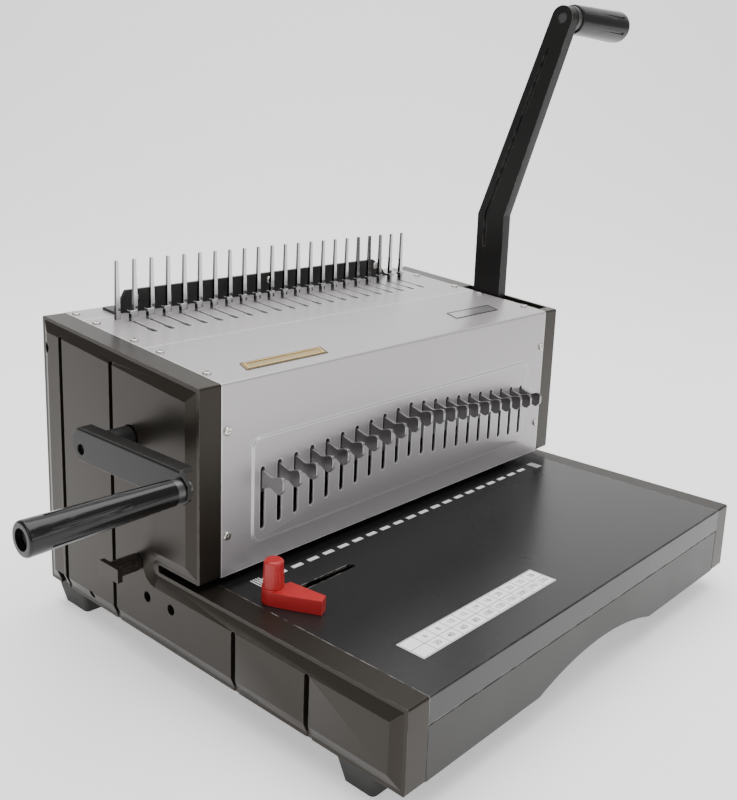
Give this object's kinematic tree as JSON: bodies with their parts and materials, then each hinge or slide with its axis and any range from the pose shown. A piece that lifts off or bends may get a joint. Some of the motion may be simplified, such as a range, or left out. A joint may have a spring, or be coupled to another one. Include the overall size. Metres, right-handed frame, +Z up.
{
  "type": "comb binding machine",
  "caption": "Desktop comb binding machine: a side lever punches a row of oblong holes, a side crank pulls hooks that open the comb.",
  "frame": {"origin": "bottom centre of the bounding box, on the floor under the rubber feet", "axes": "+X along the punched edge towards the lever's side, +Y towards the back, +Z up"},
  "size_m": [0.591, 0.3324, 0.444],
  "materials": {
    "silver_cover": "satin silver paint",
    "black_sheet": "gloss black enamel",
    "black_plastic": "semi-gloss moulded black",
    "lever_paint": "satin black enamel",
    "grip_plastic": "gloss black",
    "red_plastic": "satin red",
    "bright_steel": "ground",
    "dark_steel": "blackened",
    "polished_steel": "polished",
    "frame_steel": "zinc plated",
    "bronze": "sintered",
    "foot_rubber": "matte"
  },
  "bodies": {
    "housing": {"base_plate": "black_sheet", "rubber_feet": "foot_rubber", "left_frame": "frame_steel", "right_frame": "frame_steel", "paper_table": "black_sheet", "die_block": "dark_steel", "punch_guide": "dark_steel", "guide_posts": "polished_steel", "front_cover": "silver_cover", "slotted_plate": "silver_cover", "rear_cover": "silver_cover", "housing_screws": "bright_steel", "rear_bracket": "black_sheet", "left_panel": "black_plastic", "right_panel": "black_plastic", "shaft_bushes": "bronze", "tine_comb": "polished_steel"},
    "press": {"press_bar": "frame_steel", "punches": "dark_steel", "return_springs": "bright_steel"},
    "lever": {"lever_shaft": "bright_steel", "press_cams": "dark_steel", "lever_arm": "lever_paint", "lever_grip_bolt": "bright_steel"},
    "lever_handle": {"lever_grip": "grip_plastic"},
    "crank": {"crank_shaft": "bright_steel", "crank_pinions": "frame_steel", "crank_arm": "lever_paint", "crank_grip_bolt": "bright_steel"},
    "crank_handle": {"crank_grip": "grip_plastic"},
    "carriage": {"hook_carriage": "frame_steel", "carriage_racks": "frame_steel", "comb_hooks": "polished_steel"},
    "drawer": {"chip_drawer": "black_sheet"},
    "stop": {"side_stop": "red_plastic"},
    "stop_clamp": {"stop_knob": "red_plastic"},
    "margin": {"margin_rod": "bright_steel", "margin_knob": "black_plastic"},
    "pull_01_body": {"pull_01": "dark_steel"},
    "pull_02_body": {"pull_02": "dark_steel"},
    "pull_03_body": {"pull_03": "dark_steel"},
    "pull_04_body": {"pull_04": "dark_steel"},
    "pull_05_body": {"pull_05": "dark_steel"},
    "pull_06_body": {"pull_06": "dark_steel"},
    "pull_07_body": {"pull_07": "dark_steel"},
    "pull_08_body": {"pull_08": "dark_steel"},
    "pull_09_body": {"pull_09": "dark_steel"},
    "pull_10_body": {"pull_10": "dark_steel"},
    "pull_11_body": {"pull_11": "dark_steel"},
    "pull_12_body": {"pull_12": "dark_steel"},
    "pull_13_body": {"pull_13": "dark_steel"},
    "pull_14_body": {"pull_14": "dark_steel"},
    "pull_15_body": {"pull_15": "dark_steel"},
    "pull_16_body": {"pull_16": "dark_steel"},
    "pull_17_body": {"pull_17": "dark_steel"},
    "pull_18_body": {"pull_18": "dark_steel"},
    "pull_19_body": {"pull_19": "dark_steel"},
    "pull_20_body": {"pull_20": "dark_steel"},
    "pull_21_body": {"pull_21": "dark_steel"}
  },
  "joints": [
    {"name": "lever_swing", "type": "hinge", "parent": "housing", "child": "lever", "pos_m": [0.2065, 0.06965, 0.178], "axis": [1, 0, 0], "range_deg": [0, 52]},
    {"name": "press_slide", "type": "slide", "parent": "housing", "child": "press", "axis": [0, 0, -1], "range_m": [0, 0.0192], "stiffness_N_per_m": 6000, "springref_m": -0.02, "deforming": ["return_springs"]},
    {"name": "lever_grip_spin", "type": "hinge", "parent": "lever", "child": "lever_handle", "pos_m": [0.2545, 0.00465, 0.431], "axis": [1, 0, 0], "continuous": true},
    {"name": "crank_turn", "type": "hinge", "parent": "housing", "child": "crank", "pos_m": [-0.1755, 0.06165, 0.1505], "axis": [1, 0, 0], "range_deg": [0, 98]},
    {"name": "crank_grip_spin", "type": "hinge", "parent": "crank", "child": "crank_handle", "pos_m": [-0.2555, -0.03385, 0.1527], "axis": [1, 0, 0], "continuous": true},
    {"name": "carriage_slide", "type": "slide", "parent": "housing", "child": "carriage", "axis": [0, -1, 0], "range_m": [0, 0.0264]},
    {"name": "drawer_slide", "type": "slide", "parent": "housing", "child": "drawer", "axis": [0, -1, 0], "range_m": [0, 0.14]},
    {"name": "stop_slide", "type": "slide", "parent": "housing", "child": "stop", "axis": [1, 0, 0], "range_m": [0, 0.064]},
    {"name": "stop_knob_turn", "type": "hinge", "parent": "stop", "child": "stop_clamp", "pos_m": [-0.1399, -0.03885, 0.085], "axis": [0, 0, 1], "continuous": true},
    {"name": "margin_turn", "type": "hinge", "parent": "housing", "child": "margin", "pos_m": [0.0245, 0.05465, 0.06985], "axis": [1, 0, 0], "range_deg": [0, 180]},
    {"name": "pull_01_slide", "type": "slide", "parent": "press", "child": "pull_01_body", "axis": [0, -1, 0], "range_m": [0, 0.008]},
    {"name": "pull_02_slide", "type": "slide", "parent": "press", "child": "pull_02_body", "axis": [0, -1, 0], "range_m": [0, 0.008]},
    {"name": "pull_03_slide", "type": "slide", "parent": "press", "child": "pull_03_body", "axis": [0, -1, 0], "range_m": [0, 0.008]},
    {"name": "pull_04_slide", "type": "slide", "parent": "press", "child": "pull_04_body", "axis": [0, -1, 0], "range_m": [0, 0.008]},
    {"name": "pull_05_slide", "type": "slide", "parent": "press", "child": "pull_05_body", "axis": [0, -1, 0], "range_m": [0, 0.008]},
    {"name": "pull_06_slide", "type": "slide", "parent": "press", "child": "pull_06_body", "axis": [0, -1, 0], "range_m": [0, 0.008]},
    {"name": "pull_07_slide", "type": "slide", "parent": "press", "child": "pull_07_body", "axis": [0, -1, 0], "range_m": [0, 0.008]},
    {"name": "pull_08_slide", "type": "slide", "parent": "press", "child": "pull_08_body", "axis": [0, -1, 0], "range_m": [0, 0.008]},
    {"name": "pull_09_slide", "type": "slide", "parent": "press", "child": "pull_09_body", "axis": [0, -1, 0], "range_m": [0, 0.008]},
    {"name": "pull_10_slide", "type": "slide", "parent": "press", "child": "pull_10_body", "axis": [0, -1, 0], "range_m": [0, 0.008]},
    {"name": "pull_11_slide", "type": "slide", "parent": "press", "child": "pull_11_body", "axis": [0, -1, 0], "range_m": [0, 0.008]},
    {"name": "pull_12_slide", "type": "slide", "parent": "press", "child": "pull_12_body", "axis": [0, -1, 0], "range_m": [0, 0.008]},
    {"name": "pull_13_slide", "type": "slide", "parent": "press", "child": "pull_13_body", "axis": [0, -1, 0], "range_m": [0, 0.008]},
    {"name": "pull_14_slide", "type": "slide", "parent": "press", "child": "pull_14_body", "axis": [0, -1, 0], "range_m": [0, 0.008]},
    {"name": "pull_15_slide", "type": "slide", "parent": "press", "child": "pull_15_body", "axis": [0, -1, 0], "range_m": [0, 0.008]},
    {"name": "pull_16_slide", "type": "slide", "parent": "press", "child": "pull_16_body", "axis": [0, -1, 0], "range_m": [0, 0.008]},
    {"name": "pull_17_slide", "type": "slide", "parent": "press", "child": "pull_17_body", "axis": [0, -1, 0], "range_m": [0, 0.008]},
    {"name": "pull_18_slide", "type": "slide", "parent": "press", "child": "pull_18_body", "axis": [0, -1, 0], "range_m": [0, 0.008]},
    {"name": "pull_19_slide", "type": "slide", "parent": "press", "child": "pull_19_body", "axis": [0, -1, 0], "range_m": [0, 0.008]},
    {"name": "pull_20_slide", "type": "slide", "parent": "press", "child": "pull_20_body", "axis": [0, -1, 0], "range_m": [0, 0.008]},
    {"name": "pull_21_slide", "type": "slide", "parent": "press", "child": "pull_21_body", "axis": [0, -1, 0], "range_m": [0, 0.008]}
  ],
  "couplings": [
    {"joint": "press_slide", "follows": "lever_swing", "m_per_rad": 0.0205},
    {"joint": "carriage_slide", "follows": "crank_turn", "m_per_rad": 0.015}
  ]
}
